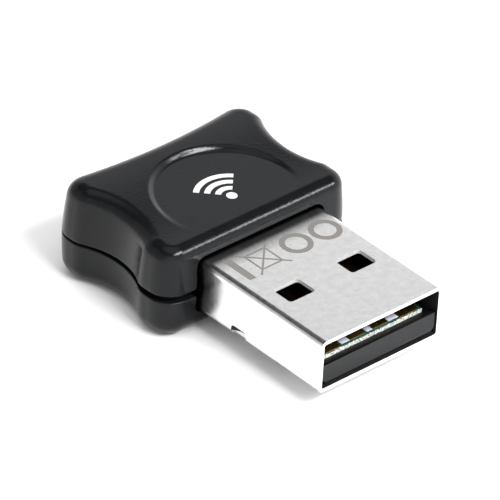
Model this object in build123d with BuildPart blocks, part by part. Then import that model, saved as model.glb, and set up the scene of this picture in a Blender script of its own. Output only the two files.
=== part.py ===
"""USB wireless network adapter: a waisted two-part plastic body on a full-size USB plug.

Frame: X across the plug, Y from the plug's mouth (-Y) to the rear of the body (+Y), Z up.
The front face of the body is y = 0, the plug reaches out to y = -plug_length, the underside is z = 0,
and the plane x = 0 halves the outside of the object. All lengths are millimetres.
"""

import os

from build123d import *

os.makedirs("parts", exist_ok=True)

# ---- Driving dimensions -------------------------------------------------------------------------

# Body plan
body_length = 13.05
body_half_width = 9.35          # at the front and rear shoulders
waist_half_width = 8.32
waist_y = 6.6
waist_half_run = 3.5            # from the waist to where the sides turn straight
rear_corner_y = 13.39           # the point of the rear corner, before it is rounded
rear_hollow = 0.85              # how far the rear edge bows inwards at its middle
shoulder_radius = 1.95
waist_blend_radius = 2.0

# Body height
parting_z = 3.7                 # where the two covers meet
front_height = 7.8              # flat front part of the top, and the floor of the thumb dish
crown_height = 8.2              # highest line of the top, near its rear
crown_start_y = 3.9             # where the flat part starts to rise
crown_y = 10.5
top_inset = 0.35                # how far the sides lean in from the parting plane to the top
bottom_inset = 0.22             # and to the underside
top_edge_radius = 1.2
bottom_edge_radius = 1.5

# Thumb dish in the top
dish_y = 4.0
dish_radius = 5.65
dish_wall_angle = 50.0          # degrees from upright

# Covers
cover_wall = 1.0
front_gap = 0.56                # the covers stand this far apart at the front face
rear_gap = 0.04
lip_outset = 0.55               # from the outline to the outside of the locating lip
lip_inset = 1.25                # from the outline to its inside
lip_rise = 0.8                  # above the parting plane
ceiling_z = 6.7
fit_gap = 0.05
catch_rows_y = (2.9, 10.4)      # two snap catches on each side
catch_length = 1.2
board_posts = ((-5.7, 4.6), (5.7, 4.6), (-5.5, 10.0), (5.5, 10.0))
pegged_posts = ((-5.7, 4.6), (5.5, 10.0))    # the two that also locate the board
post_radius = 0.8
peg_radius = 0.4
peg_rise = 0.4                  # above the board
clamp_rib_y = 2.2               # ribs above and below the shell's tail
clamp_rib_length = 0.8

# Plug (the standard full-size USB plug)
plug_width = 12.0
plug_height = 4.5
plug_wall = 0.3
plug_length = 13.05
plug_axis_z = 4.05
plug_corner_radius = 0.5
shell_tail = 3.2                # how far the shell runs into the body
window_width = 2.5              # latch windows, two above and two below
window_length = 2.0
window_corner_radius = 0.3
window_x = 3.06
window_y = -6.83
notch_length = 1.65             # in the lower edge of each side wall
notch_height = 0.9
notch_y = -4.3
notch_corner_radius = 0.35
tongue_length = 0.8             # the tongue bent inwards from the notch's rear edge
tongue_root = 0.5
tongue_lean = 0.5
tongue_height = 0.3
aperture_width = 12.6           # opening in the body's front face
aperture_height = 4.85
aperture_corner_radius = 0.8
aperture_depth = 3.0            # from 1 mm in front of the body

# Contact carrier and circuit board
carrier_width = 11.1
carrier_height = 1.58           # from the plug's axis down
carrier_front_y = -12.95
carrier_rear_y = 1.2
carrier_lip = 0.3               # along Y, in front of the ledge
carrier_ledge_drop = 0.15
carrier_chamfer = 0.3
carrier_rib_width = 0.8
carrier_rib_x = 4.2
board_thickness = 0.8
board_rise = 0.1                # of the board's top above the plug's axis
board_front_y = -12.1
board_nose_width = 10.0         # the part that runs through the plug
board_wide_width = 13.4
board_wide_y = 3.4              # where the board widens behind the shell
board_rear_y = 11.0
board_corner_radius = 0.6
contact_thickness = 0.05
contact_rear_y = -4.3
outer_contact = (1.9, 3.87, -11.95)     # width, distance from the middle, front end
inner_contact = (1.45, 1.14, -11.8)
silkscreen_thickness = 0.02
silkscreen_length = 1.3
silkscreen_marks = ((-2.34, 0.8), (0.05, 0.55), (2.42, 0.95))    # x and width
solder_y = 2.1
solder_length = 1.2
solder_height = 0.6

# Board parts: size is width along X, length along Y and height
chip_size = (5.0, 5.0, 0.75)
chip_centre = (-0.5, 6.2)
chip_pads_each_side = 10
chip_pad_size = (0.24, 0.45)
chip_pad_height = 0.05
chip_ground_pad = 3.4
crystal_size = (2.5, 2.0, 0.35)
crystal_lid_size = (2.2, 1.7, 0.2)
crystal_centre = (3.55, 4.5)
inductor_size = (2.0, 1.6, 0.9)
inductor_centre = (-5.0, 6.7)
inductor_terminal = (0.45, 1.6, 0.12)
regulator_size = (1.6, 2.9, 0.9)
regulator_centre = (4.9, 7.0)
regulator_stand = 0.15
regulator_pitch = 0.95
lead_width = 0.4
lead_thickness = 0.15
lead_reach = 0.6
memory_size = (3.0, 2.0, 0.6)
memory_centre = (0.0, 8.2)
memory_pad_size = (0.5, 0.25)
memory_pad_pitch = 0.5
capacitor_size = (1.0, 0.5, 0.5)
resistor_size = (1.0, 0.5, 0.32)
terminal_share = 0.25           # of a capacitor's or resistor's width, at each end
terminal_step = 0.02
capacitor_places = ((-3.9, 8.3), (-3.9, 9.0), (-5.4, 8.3), (2.9, 8.9), (-3.9, 4.2), (-3.9, 5.0))
resistor_places = ((-1.6, 9.1), (-0.3, 9.1), (1.0, 9.1), (4.2, 8.95))
antenna_track = 0.3
antenna_thickness = 0.05
antenna_front_y = 9.75
antenna_rear_y = 10.75
antenna_pitch = 0.7
antenna_turns = 5

# Printed mark in the dish: a dot and three arcs
emblem_y = 3.55                 # the dot's centre
emblem_thickness = 0.02
emblem_dot_radius = 0.42
emblem_arcs = ((0.8, 1.25), (1.62, 2.07), (2.44, 2.9))
emblem_half_angle = 44.0

# ---- Values worked out from them ----------------------------------------------------------------

board_top_z = plug_axis_z + board_rise
board_bottom_z = board_top_z - board_thickness
plug_bottom_z = plug_axis_z - plug_height / 2
plug_top_z = plug_axis_z + plug_height / 2
shell_floor_z = plug_bottom_z + plug_wall
shell_inner_half = plug_width / 2 - plug_wall
notch_rear_y = notch_y + notch_length / 2
tongue_bottom_z = shell_floor_z + 0.05
blank_height = crown_height + 0.5
crown_mid = ((crown_start_y + crown_y) / 2, (front_height + crown_height) / 2)
far_side = 3 * body_half_width  # longer than anything it has to cut through

top_outline_z = parting_z + lip_rise + fit_gap     # above it the inside of the top cover is straight
front_plane = Plane(origin=(0, 0, plug_axis_z), x_dir=(1, 0, 0), z_dir=(0, -1, 0))


def finish(builder, label):
    """Label a finished sub-part and write it to its own STEP file."""
    builder.part.label = label
    export_step(builder.part, f"parts/{label}.step")


def body_outline(inset=0.0):
    """Plan of the body at the parting plane: straight front, waisted sides, hollow rear, round corners."""
    side = body_half_width
    waist_front_y = waist_y - waist_half_run
    waist_rear_y = waist_y + waist_half_run
    with BuildSketch(mode=Mode.PRIVATE) as plan:
        with BuildLine():
            Line((-side, 0), (side, 0))
            Line((side, 0), (side, waist_front_y))
            ThreePointArc((side, waist_front_y), (waist_half_width, waist_y), (side, waist_rear_y))
            Line((side, waist_rear_y), (side, rear_corner_y))
            ThreePointArc((side, rear_corner_y), (0, rear_corner_y - rear_hollow), (-side, rear_corner_y))
            Line((-side, rear_corner_y), (-side, waist_rear_y))
            ThreePointArc((-side, waist_rear_y), (-waist_half_width, waist_y), (-side, waist_front_y))
            Line((-side, waist_front_y), (-side, 0))
        make_face()
        corners = plan.vertices().group_by(Axis.Y)
        fillet(corners[0] + corners[-1], radius=shoulder_radius)
        fillet(plan.vertices().filter_by(lambda v: abs(abs(v.Y - waist_y) - waist_half_run) < 1e-6),
               radius=waist_blend_radius)
        if inset:
            offset(amount=-inset, mode=Mode.REPLACE)
    return plan.sketch


def aperture_outline():
    """Opening for the plug, drawn just in front of the front face."""
    with BuildSketch(front_plane.offset(1), mode=Mode.PRIVATE) as opening:
        RectangleRounded(aperture_width, aperture_height, aperture_corner_radius)
    return opening.sketch


def seam_profile(direction):
    """Side view of what is cut from a cover at the seam, which opens towards the front.

    The direction is 1 for the top cover, whose edge rises, and -1 for the bottom cover, whose edge falls.
    """
    front_z = parting_z + direction * front_gap / 2
    rear_z = parting_z + direction * rear_gap / 2
    clear_z = parting_z - 2 * direction
    with BuildSketch(Plane.YZ, mode=Mode.PRIVATE) as profile:
        Polygon((0, front_z), (body_length, rear_z), (2 * body_length, rear_z),
                (2 * body_length, clear_z), (-1, clear_z), (-1, front_z), align=None)
    return profile.sketch


# ---- Bottom cover -------------------------------------------------------------------------------

with BuildPart() as bottom_cover:
    with BuildSketch():
        add(body_outline(bottom_inset))
    with BuildSketch(Plane.XY.offset(parting_z)):
        add(body_outline())
    loft(ruled=True)
    fillet(bottom_cover.edges().group_by(Axis.Z)[0], radius=bottom_edge_radius)

    # Inside
    with BuildSketch(Plane.XY.offset(cover_wall)):
        add(body_outline(lip_inset))
    extrude(amount=parting_z, mode=Mode.SUBTRACT)

    # The upper face falls towards the front, so the seam is widest there
    extrude(seam_profile(-1), amount=far_side, both=True, mode=Mode.SUBTRACT)

    # Locating lip that the top cover slides over, grown from the foot of the wall
    with BuildSketch(Plane.XY.offset(cover_wall)):
        add(body_outline(lip_outset))
        add(body_outline(lip_inset), mode=Mode.SUBTRACT)
    extrude(amount=parting_z + lip_rise - cover_wall)

    # Slots in the lip for the top cover's snap catches
    with BuildSketch(Plane.XY.offset(parting_z + lip_rise / 2)):
        with Locations(*[(0, y) for y in catch_rows_y]):
            Rectangle(far_side, catch_length + 2 * fit_gap)
    extrude(amount=lip_rise, mode=Mode.SUBTRACT)

    # Posts that carry the board, and a cross rib under the shell's tail
    with BuildSketch(Plane.XY.offset(cover_wall)):
        with Locations(*board_posts):
            Circle(post_radius)
    extrude(amount=board_bottom_z - cover_wall)
    with BuildSketch(Plane.XY.offset(cover_wall)):
        with Locations((0, clamp_rib_y)):
            Rectangle(plug_width, clamp_rib_length)
    extrude(amount=plug_bottom_z - cover_wall)

    # Pegs that pass through the board
    with BuildSketch(Plane.XY.offset(cover_wall)):
        with Locations(*pegged_posts):
            Circle(peg_radius)
    extrude(amount=board_top_z + peg_rise - cover_wall)

    extrude(aperture_outline(), amount=-aperture_depth, mode=Mode.SUBTRACT)

finish(bottom_cover, "bottom_cover")


# ---- Top cover ----------------------------------------------------------------------------------

with BuildPart() as top_cover:
    with BuildSketch(Plane.XY.offset(parting_z)):
        add(body_outline())
    with BuildSketch(Plane.XY.offset(blank_height)):
        add(body_outline(top_inset))
    loft(ruled=True)

    # Top surface: flat at the front, then a low crown that rises towards the rear and falls again
    with BuildSketch(Plane.YZ):
        with BuildLine():
            level = Line((-1, front_height), (crown_start_y, front_height))
            rise = TangentArc(level @ 1, crown_mid, tangent=level % 1)
            crest = TangentArc(rise @ 1, (crown_y, crown_height), tangent=rise % 1)
            fall = TangentArc(crest @ 1, (body_length + 1, crown_height - 0.25), tangent=crest % 1)
            Polyline(fall @ 1, (body_length + 1, blank_height + 1), (-1, blank_height + 1), level @ 0)
        make_face()
    extrude(amount=far_side, both=True, mode=Mode.SUBTRACT)

    # The rounding starts at the front face's upper edge and runs on round the whole tangent rim
    fillet(top_cover.faces().sort_by(Axis.Y)[0].edges().sort_by(Axis.Z)[-1], radius=top_edge_radius)

    # Thumb dish: its floor is level with the front part, so its wall is only seen at the rear
    with BuildSketch(Plane.XY.offset(front_height)):
        with Locations((0, dish_y)):
            Circle(dish_radius)
    extrude(amount=1, taper=-dish_wall_angle, mode=Mode.SUBTRACT)

    # Inside: a thin skirt round the lip, and a full wall above it
    with BuildSketch(Plane.XY.offset(parting_z - 1)):
        add(body_outline(lip_outset - fit_gap))
    extrude(amount=top_outline_z - parting_z + 1, mode=Mode.SUBTRACT)
    with BuildSketch(Plane.XY.offset(parting_z - 1)):
        add(body_outline(lip_inset))
    extrude(amount=ceiling_z - parting_z + 1, mode=Mode.SUBTRACT)

    # The lower face rises towards the front
    extrude(seam_profile(1), amount=far_side, both=True, mode=Mode.SUBTRACT)

    # Snap catches on the inside of the skirt
    with BuildSketch(Plane.XY.offset(parting_z + lip_rise / 2 + fit_gap)):
        with Locations(*[(0, y) for y in catch_rows_y]):
            Rectangle(far_side, catch_length)
        add(body_outline((lip_outset - fit_gap) / 2), mode=Mode.INTERSECT)
        add(body_outline(lip_outset + 0.3), mode=Mode.SUBTRACT)
    extrude(amount=lip_rise / 2)

    # Posts that hold the board down, sockets in two of them, and a rib on the shell's tail
    with BuildSketch(Plane.XY.offset(ceiling_z)):
        with Locations(*board_posts):
            Circle(post_radius)
    extrude(amount=board_top_z - ceiling_z)
    with BuildSketch(Plane.XY.offset(board_top_z)):
        with Locations(*pegged_posts):
            Circle(peg_radius + fit_gap)
    extrude(amount=peg_rise + 2 * fit_gap, mode=Mode.SUBTRACT)
    with BuildSketch(Plane.XY.offset(ceiling_z)):
        with Locations((0, clamp_rib_y)):
            Rectangle(plug_width, clamp_rib_length)
    extrude(amount=plug_top_z - ceiling_z)

    extrude(aperture_outline(), amount=-aperture_depth, mode=Mode.SUBTRACT)

finish(top_cover, "top_cover")


# ---- Printed mark in the dish -------------------------------------------------------------------

with BuildPart() as emblem_print:
    with BuildSketch(Plane.XY.offset(front_height)):
        with Locations((0, emblem_y)):
            Circle(emblem_dot_radius)
            for inner, outer in emblem_arcs:
                mid = (inner + outer) / 2
                with BuildSketch(mode=Mode.PRIVATE) as arc:
                    with BuildLine():
                        CenterArc((0, 0), mid, 90 - emblem_half_angle, 2 * emblem_half_angle)
                    trace(line_width=outer - inner)
                add(arc.sketch)
    extrude(amount=emblem_thickness)

finish(emblem_print, "emblem_print")


# ---- Plug shell ---------------------------------------------------------------------------------

with BuildPart() as plug_shell:
    with BuildSketch(front_plane.offset(plug_length)):
        RectangleRounded(plug_width, plug_height, plug_corner_radius)
        RectangleRounded(plug_width - 2 * plug_wall, plug_height - 2 * plug_wall,
                         plug_corner_radius - plug_wall, mode=Mode.SUBTRACT)
    extrude(amount=-(plug_length + shell_tail))

    # Latch windows through the upper and lower walls
    with BuildSketch(Plane.XY.offset(plug_bottom_z - 1)):
        with Locations((-window_x, window_y), (window_x, window_y)):
            RectangleRounded(window_width, window_length, window_corner_radius)
    extrude(amount=plug_height + 2, mode=Mode.SUBTRACT)

    # A notch in the lower edge of each side wall, and the tongue bent inwards from its rear edge
    for side in (-1, 1):
        with BuildSketch(Plane.YZ.offset(side * (plug_width / 2 - plug_corner_radius))):
            with Locations((notch_y, plug_bottom_z)):
                RectangleRounded(notch_length, 2 * notch_height, notch_corner_radius)
        extrude(amount=side * far_side, mode=Mode.SUBTRACT)
    with BuildSketch(Plane.XY.offset(tongue_bottom_z)):
        for side in (-1, 1):
            root = side * shell_inner_half
            tip = side * (shell_inner_half - tongue_lean)
            Polygon((root + side * plug_wall, notch_rear_y), (root, notch_rear_y + tongue_root),
                    (tip, notch_rear_y - tongue_length),
                    (tip + side * plug_wall, notch_rear_y - tongue_length), align=None)
    extrude(amount=tongue_height)

finish(plug_shell, "plug_shell")


# ---- Contact carrier ----------------------------------------------------------------------------

with BuildPart() as contact_carrier:
    with BuildSketch(front_plane.offset(-carrier_front_y)):
        with Locations((0, -carrier_height / 2)):
            Rectangle(carrier_width, carrier_height)
    extrude(amount=carrier_front_y - carrier_rear_y)
    chamfer(contact_carrier.edges().filter_by(Axis.Y).group_by(Axis.Z)[0], length=carrier_chamfer)

    # The ledge behind the front lip, and the pocket that the board lies in
    with BuildSketch(Plane.XY.offset(plug_axis_z - carrier_ledge_drop)):
        with Locations((0, carrier_front_y + carrier_lip)):
            Rectangle(carrier_width, far_side, align=(Align.CENTER, Align.MIN))
    extrude(amount=carrier_height, mode=Mode.SUBTRACT)
    with BuildSketch(Plane.XY.offset(board_bottom_z)):
        with Locations((0, board_front_y - fit_gap)):
            Rectangle(board_nose_width + 2 * fit_gap, far_side, align=(Align.CENTER, Align.MIN))
    extrude(amount=carrier_height, mode=Mode.SUBTRACT)

    # Clear of the shell's tongues
    with BuildSketch(Plane.XY.offset(tongue_bottom_z - fit_gap)):
        with Locations((-carrier_width / 2, notch_y), (carrier_width / 2, notch_y)):
            Rectangle(2 * tongue_lean, notch_length + 2 * tongue_root)
    extrude(amount=tongue_height + 2 * fit_gap, mode=Mode.SUBTRACT)

    # Two long ribs that stand on the floor of the shell
    with BuildSketch(Plane.XY.offset(shell_floor_z)):
        with Locations((-carrier_rib_x, carrier_rear_y), (carrier_rib_x, carrier_rear_y)):
            Rectangle(carrier_rib_width, carrier_rear_y - window_y, align=(Align.CENTER, Align.MAX))
    extrude(amount=board_bottom_z - shell_floor_z)

finish(contact_carrier, "contact_carrier")


# ---- Circuit board, its contacts and what fastens it --------------------------------------------

with BuildPart() as circuit_board:
    with BuildSketch(Plane.XY.offset(board_bottom_z)) as board_plan:
        with Locations((0, board_front_y)):
            Rectangle(board_nose_width, board_wide_y - board_front_y, align=(Align.CENTER, Align.MIN))
        with Locations((0, board_wide_y)):
            Rectangle(board_wide_width, board_rear_y - board_wide_y, align=(Align.CENTER, Align.MIN))
        fillet(board_plan.vertices().group_by(Axis.Y)[-1], radius=board_corner_radius)
        with Locations(*pegged_posts):
            Circle(peg_radius + fit_gap, mode=Mode.SUBTRACT)
    extrude(amount=board_thickness)

finish(circuit_board, "circuit_board")


def contact(label, x, width, front_y):
    """One flat gold-plated contact on the board's upper side."""
    with BuildPart() as pad:
        with BuildSketch(Plane.XY.offset(board_top_z)):
            with Locations((x, front_y)):
                Rectangle(width, contact_rear_y - front_y, align=(Align.CENTER, Align.MIN))
        extrude(amount=contact_thickness)
    finish(pad, label)


outer_width, outer_x, outer_front_y = outer_contact
inner_width, inner_x, inner_front_y = inner_contact
contact("power_contact", outer_x, outer_width, outer_front_y)
contact("data_minus_contact", inner_x, inner_width, inner_front_y)
contact("data_plus_contact", -inner_x, inner_width, inner_front_y)
contact("ground_contact", -outer_x, outer_width, outer_front_y)

with BuildPart() as contact_silkscreen:
    with BuildSketch(Plane.XY.offset(board_top_z)):
        for x, width in silkscreen_marks:
            with Locations((x, inner_front_y)):
                Rectangle(width, silkscreen_length, align=(Align.CENTER, Align.MIN))
    extrude(amount=silkscreen_thickness)

finish(contact_silkscreen, "contact_silkscreen")

with BuildPart() as shell_solder_joints:
    with BuildSketch(front_plane.offset(-(solder_y - solder_length / 2))):
        for side in (-1, 1):
            Polygon((side * shell_inner_half, board_rise),
                    (side * shell_inner_half, board_rise + solder_height),
                    (side * (board_nose_width / 2 - solder_height), board_rise), align=None)
    extrude(amount=-solder_length)

finish(shell_solder_joints, "shell_solder_joints")


# ---- Parts on the board -------------------------------------------------------------------------

def block(label, size, centre, base_z, upwards=True):
    """A rectangular part: its size, the middle of its plan, and the height of the face it stands on."""
    width, length, height = size
    with BuildPart() as piece:
        with BuildSketch(Plane.XY.offset(base_z)):
            with Locations(centre):
                Rectangle(width, length)
        extrude(amount=height if upwards else -height)
    finish(piece, label)


def passive(label, size, centre):
    """A capacitor or resistor: one block whose two end terminals stand a little proud of its body."""
    width, length, height = size
    cap = width * terminal_share
    with BuildPart() as piece:
        with BuildSketch(Plane.XY.offset(board_top_z)):
            with Locations(centre):
                Rectangle(width, length - 2 * terminal_step)
        extrude(amount=height - terminal_step)
        with BuildSketch(Plane.XY.offset(board_top_z)):
            with Locations(centre):
                with GridLocations(width - cap, 1, 2, 1):
                    Rectangle(cap, length)
        extrude(amount=height)
    finish(piece, label)


chip_stand_z = board_top_z + chip_pad_height
block("radio_chip", chip_size, chip_centre, chip_stand_z)

with BuildPart() as radio_chip_pads:
    row_offset = chip_size[0] / 2 - chip_pad_size[1] / 2 + 0.1
    pad_pitch = 0.8 * chip_size[0] / (chip_pads_each_side - 1)
    with BuildSketch(Plane.XY.offset(board_top_z)):
        with Locations(chip_centre):
            Rectangle(chip_ground_pad, chip_ground_pad)
            with GridLocations(pad_pitch, 2 * row_offset, chip_pads_each_side, 2):
                Rectangle(*chip_pad_size)
            with GridLocations(2 * row_offset, pad_pitch, 2, chip_pads_each_side):
                Rectangle(chip_pad_size[1], chip_pad_size[0])
    extrude(amount=chip_pad_height)

finish(radio_chip_pads, "radio_chip_pads")

block("crystal_base", crystal_size, crystal_centre, board_top_z)
block("crystal_lid", crystal_lid_size, crystal_centre, board_top_z + crystal_size[2])

with BuildPart() as inductor_terminals:
    with BuildSketch(Plane.XY.offset(board_top_z)):
        with Locations(inductor_centre):
            with GridLocations(inductor_size[0] - inductor_terminal[0], 1, 2, 1):
                Rectangle(inductor_terminal[0], inductor_terminal[1])
    extrude(amount=inductor_terminal[2])

finish(inductor_terminals, "inductor_terminals")
block("power_inductor", inductor_size, inductor_centre, board_top_z + inductor_terminal[2])

block("voltage_regulator", regulator_size, regulator_centre, board_top_z + regulator_stand)

with BuildPart() as regulator_leads:
    for side, rows in ((-1, (-1, 0, 1)), (1, (-1, 1))):
        for row in rows:
            y = regulator_centre[1] + row * regulator_pitch + lead_width / 2
            root = side * regulator_size[0] / 2
            knee = root + side * lead_reach / 2
            foot = root + side * lead_reach
            lead_z = regulator_stand + regulator_size[2] / 2
            lead_origin = (regulator_centre[0], y, board_top_z)
            with BuildSketch(Plane(origin=lead_origin, x_dir=(1, 0, 0), z_dir=(0, -1, 0))):
                Polygon((root, lead_z + lead_thickness), (knee, lead_z + lead_thickness),
                        (knee, lead_thickness), (foot, lead_thickness), (foot, 0),
                        (knee - side * lead_thickness, 0), (knee - side * lead_thickness, lead_z),
                        (root, lead_z), align=None)
            extrude(amount=lead_width)

finish(regulator_leads, "regulator_leads")

with BuildPart() as memory_chip_pads:
    with BuildSketch(Plane.XY.offset(board_bottom_z)):
        with Locations(memory_centre):
            with GridLocations(memory_size[0] - memory_pad_size[0] + 0.2, memory_pad_pitch, 2, 4):
                Rectangle(*memory_pad_size)
    extrude(amount=-chip_pad_height)

finish(memory_chip_pads, "memory_chip_pads")
block("memory_chip", memory_size, memory_centre, board_bottom_z - chip_pad_height, upwards=False)

for number, place in enumerate(capacitor_places, start=1):
    passive(f"capacitor_{number}", capacitor_size, place)
for number, place in enumerate(resistor_places, start=1):
    passive(f"resistor_{number}", resistor_size, place)

# The aerial: one copper track that runs to and fro across the rear edge of the board
with BuildPart() as antenna_trace:
    left = -antenna_pitch * antenna_turns
    corners = []
    for turn in range(2 * antenna_turns + 1):
        x = left + turn * antenna_pitch
        ends = (antenna_front_y, antenna_rear_y) if turn % 2 == 0 else (antenna_rear_y, antenna_front_y)
        corners += [(x, ends[0]), (x, ends[1])]
    with BuildSketch(Plane.XY.offset(board_top_z)):
        with BuildLine():
            Polyline(*corners)
        trace(line_width=antenna_track)
    extrude(amount=antenna_thickness)

finish(antenna_trace, "antenna_trace")
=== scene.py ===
"""USB wireless adapter: a waisted black body on a nickel-plated plug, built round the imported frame.

Frame: X across the plug, Y from the plug's mouth (-Y) to the rear of the body (+Y), Z up, z = 0 the
underside. Shapes are worked out in millimetres and turned to metres when their mesh is made.
"""

import math

import bpy
import numpy as np
from mathutils import Matrix, Vector


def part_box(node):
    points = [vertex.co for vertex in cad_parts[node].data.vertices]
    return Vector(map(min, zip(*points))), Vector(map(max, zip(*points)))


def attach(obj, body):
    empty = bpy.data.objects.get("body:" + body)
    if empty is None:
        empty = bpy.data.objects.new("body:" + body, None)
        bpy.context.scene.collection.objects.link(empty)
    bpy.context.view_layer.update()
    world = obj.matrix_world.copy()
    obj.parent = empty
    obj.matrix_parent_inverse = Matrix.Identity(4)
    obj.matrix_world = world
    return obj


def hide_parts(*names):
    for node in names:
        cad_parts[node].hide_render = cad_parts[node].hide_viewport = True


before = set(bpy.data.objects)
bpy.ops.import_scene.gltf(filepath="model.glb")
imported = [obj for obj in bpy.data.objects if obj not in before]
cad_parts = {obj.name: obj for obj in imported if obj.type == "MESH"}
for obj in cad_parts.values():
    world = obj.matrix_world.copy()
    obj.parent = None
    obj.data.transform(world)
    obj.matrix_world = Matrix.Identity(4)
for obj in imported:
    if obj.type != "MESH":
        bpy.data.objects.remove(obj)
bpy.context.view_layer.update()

MM = 0.001


# ---- Curves -------------------------------------------------------------------------------------

def arc_path(start, heading, steps, spacing):
    """Points along straight runs and tangent arcs, with the unit vector to the right of the path.

    A step is a length, for a straight run, or a radius and an angle, where a positive angle turns
    left. An arc's point is its centre less the radius times the vector to the left of the heading, on
    the side that it turns to. Every run and arc has at least six parts. Returns points, right-hand
    vectors and distance along the path.
    """
    points, rights = [], []
    at = np.array(start, float)
    for step in steps:
        radius, angle = step if isinstance(step, tuple) else (None, 0.0)
        length = step if radius is None else radius * abs(angle)
        t = np.linspace(0, 1, max(int(math.ceil(length / spacing)), 6) + 1)
        turned = heading + angle * t
        left = np.stack([-np.sin(turned), np.cos(turned)], 1)
        if radius is None:
            run = at + np.outer(t * length, (math.cos(heading), math.sin(heading)))
        else:
            side = math.copysign(radius, angle)
            run = at + side * left[0] - side * left
        points.append(run[:-1])
        rights.append(-left[:-1])
        at = run[-1]
        heading += angle
    points.append(at[None])
    rights.append(-left[-1:])
    points = np.concatenate(points)
    gaps = np.linalg.norm(np.diff(points, axis=0), axis=1)
    return points, np.concatenate(rights), np.concatenate([[0], np.cumsum(gaps)])


def rounded_rectangle(width, height, radius, spacing=0.05):
    """Closed outline of a rectangle with round corners about the origin, counterclockwise."""
    quarter = [width / 2 - radius, (radius, math.pi / 2), height / 2 - radius]
    upright = [height / 2 - radius, (radius, math.pi / 2), width / 2 - radius]
    points, _, _ = arc_path((0, -height / 2), 0, (quarter + upright) * 2, spacing)
    apart = np.linalg.norm(np.diff(points, axis=0), axis=1) > 1e-9
    return points[:-1][apart]


# ---- Meshes -------------------------------------------------------------------------------------

def grid_quads(rows, columns, wrap_rows=False):
    """Quads of a grid whose last column joins its first, and whose last row may join its first too."""
    row, column = np.meshgrid(np.arange(rows if wrap_rows else rows - 1), np.arange(columns), indexing="ij")
    below, beside = (row + 1) % rows, (column + 1) % columns
    corners = [row * columns + column, row * columns + beside,
               below * columns + beside, below * columns + column]
    return np.stack(corners, -1).reshape(-1, 4).tolist()


def make_piece(name, points, faces, slot, *nodes, crease=None):
    """A mesh object in the frame, smooth except at edges that turn more than the crease angle."""
    mesh = bpy.data.meshes.new(name)
    mesh.from_pydata((np.asarray(points) * MM).tolist(), [], faces)
    mesh.update()
    mesh.shade_smooth()
    if crease:
        mesh.set_sharp_from_angle(angle=math.radians(crease))
    piece = bpy.data.objects.new(name, mesh)
    bpy.context.scene.collection.objects.link(piece)
    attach(piece, "root")
    if nodes:
        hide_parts(*nodes)
    return piece


def ring_stack(rings, first_pole, last_pole):
    """Closed surface through rings of equal count, with a fan of triangles to a pole at each end."""
    count = rings.shape[1]
    points = np.concatenate([rings.reshape(-1, 3), [first_pole, last_pole]])
    faces = grid_quads(len(rings), count)
    ring = np.arange(count)
    last = (len(rings) - 1) * count
    first_fan = np.stack([np.full(count, len(points) - 2), (ring + 1) % count, ring], 1)
    last_fan = np.stack([np.full(count, len(points) - 1), last + ring, last + (ring + 1) % count], 1)
    return points, faces + first_fan.tolist() + last_fan.tolist()


def prism(outline, low, high):
    """A flat outline in X and Y, counterclockwise, raised from one height to the other."""
    count = len(outline)
    levels = [np.column_stack([outline, np.full(count, z)]) for z in (low, high)]
    ring = np.arange(count)
    sides = np.stack([ring, (ring + 1) % count, (ring + 1) % count + count, ring + count], 1)
    return np.concatenate(levels), sides.tolist() + [ring[::-1].tolist(), (ring + count).tolist()]


def joined(parts):
    """Several point and face lists as one."""
    points, faces, offset = [], [], 0
    for part_points, part_faces in parts:
        points.append(part_points)
        faces += [[corner + offset for corner in face] for face in part_faces]
        offset += len(part_points)
    return np.concatenate(points), faces


def cut_and_bevel(piece, cutters, width, segments=3):
    """Takes the cutters' shapes out of a piece, rounds every hard edge, and leaves a plain mesh."""
    cutter = bpy.data.objects.new("cutter", bpy.data.meshes.new("cutter"))
    points, faces = joined(cutters)
    cutter.data.from_pydata((points * MM).tolist(), [], faces)
    bpy.context.scene.collection.objects.link(cutter)
    boolean = piece.modifiers.new("openings", "BOOLEAN")
    boolean.operation = "DIFFERENCE"
    boolean.solver = "EXACT"
    boolean.object = cutter
    add_bevel(piece, width, segments)
    settle(piece)
    bpy.data.objects.remove(cutter)


def add_bevel(piece, width, segments):
    """Rounds the edges that turn more than 40 degrees."""
    bevel = piece.modifiers.new("rounded edges", "BEVEL")
    bevel.width = width * MM
    bevel.segments = segments
    bevel.limit_method = "ANGLE"
    bevel.angle_limit = math.radians(40)
    bevel.use_clamp_overlap = True
    bevel.harden_normals = True


def settle(piece):
    """Replaces a piece's mesh with the result of its modifiers."""
    graph = bpy.context.evaluated_depsgraph_get()
    result = bpy.data.meshes.new_from_object(piece.evaluated_get(graph))
    piece.modifiers.clear()
    piece.data = result


# ---- Body plan ----------------------------------------------------------------------------------

HALF_WIDTH = 9.35           # at the shoulders
WAIST_HALF_WIDTH = 8.32
WAIST_Y = 6.6
SHOULDER_RADIUS = 1.95
BLEND_RADIUS = 2.0          # where the straight side turns into the waist
WAIST_RADIUS = 6.46
REAR_RADIUS = 51.85         # of the hollow rear edge
REAR_HOLLOW_Y = 12.54       # the rear edge at its middle

PARTING_Z = 3.7
FRONT_GAP = 0.56            # the covers stand this far apart at the front face
REAR_GAP = 0.05
BODY_LENGTH = 13.05


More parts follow.
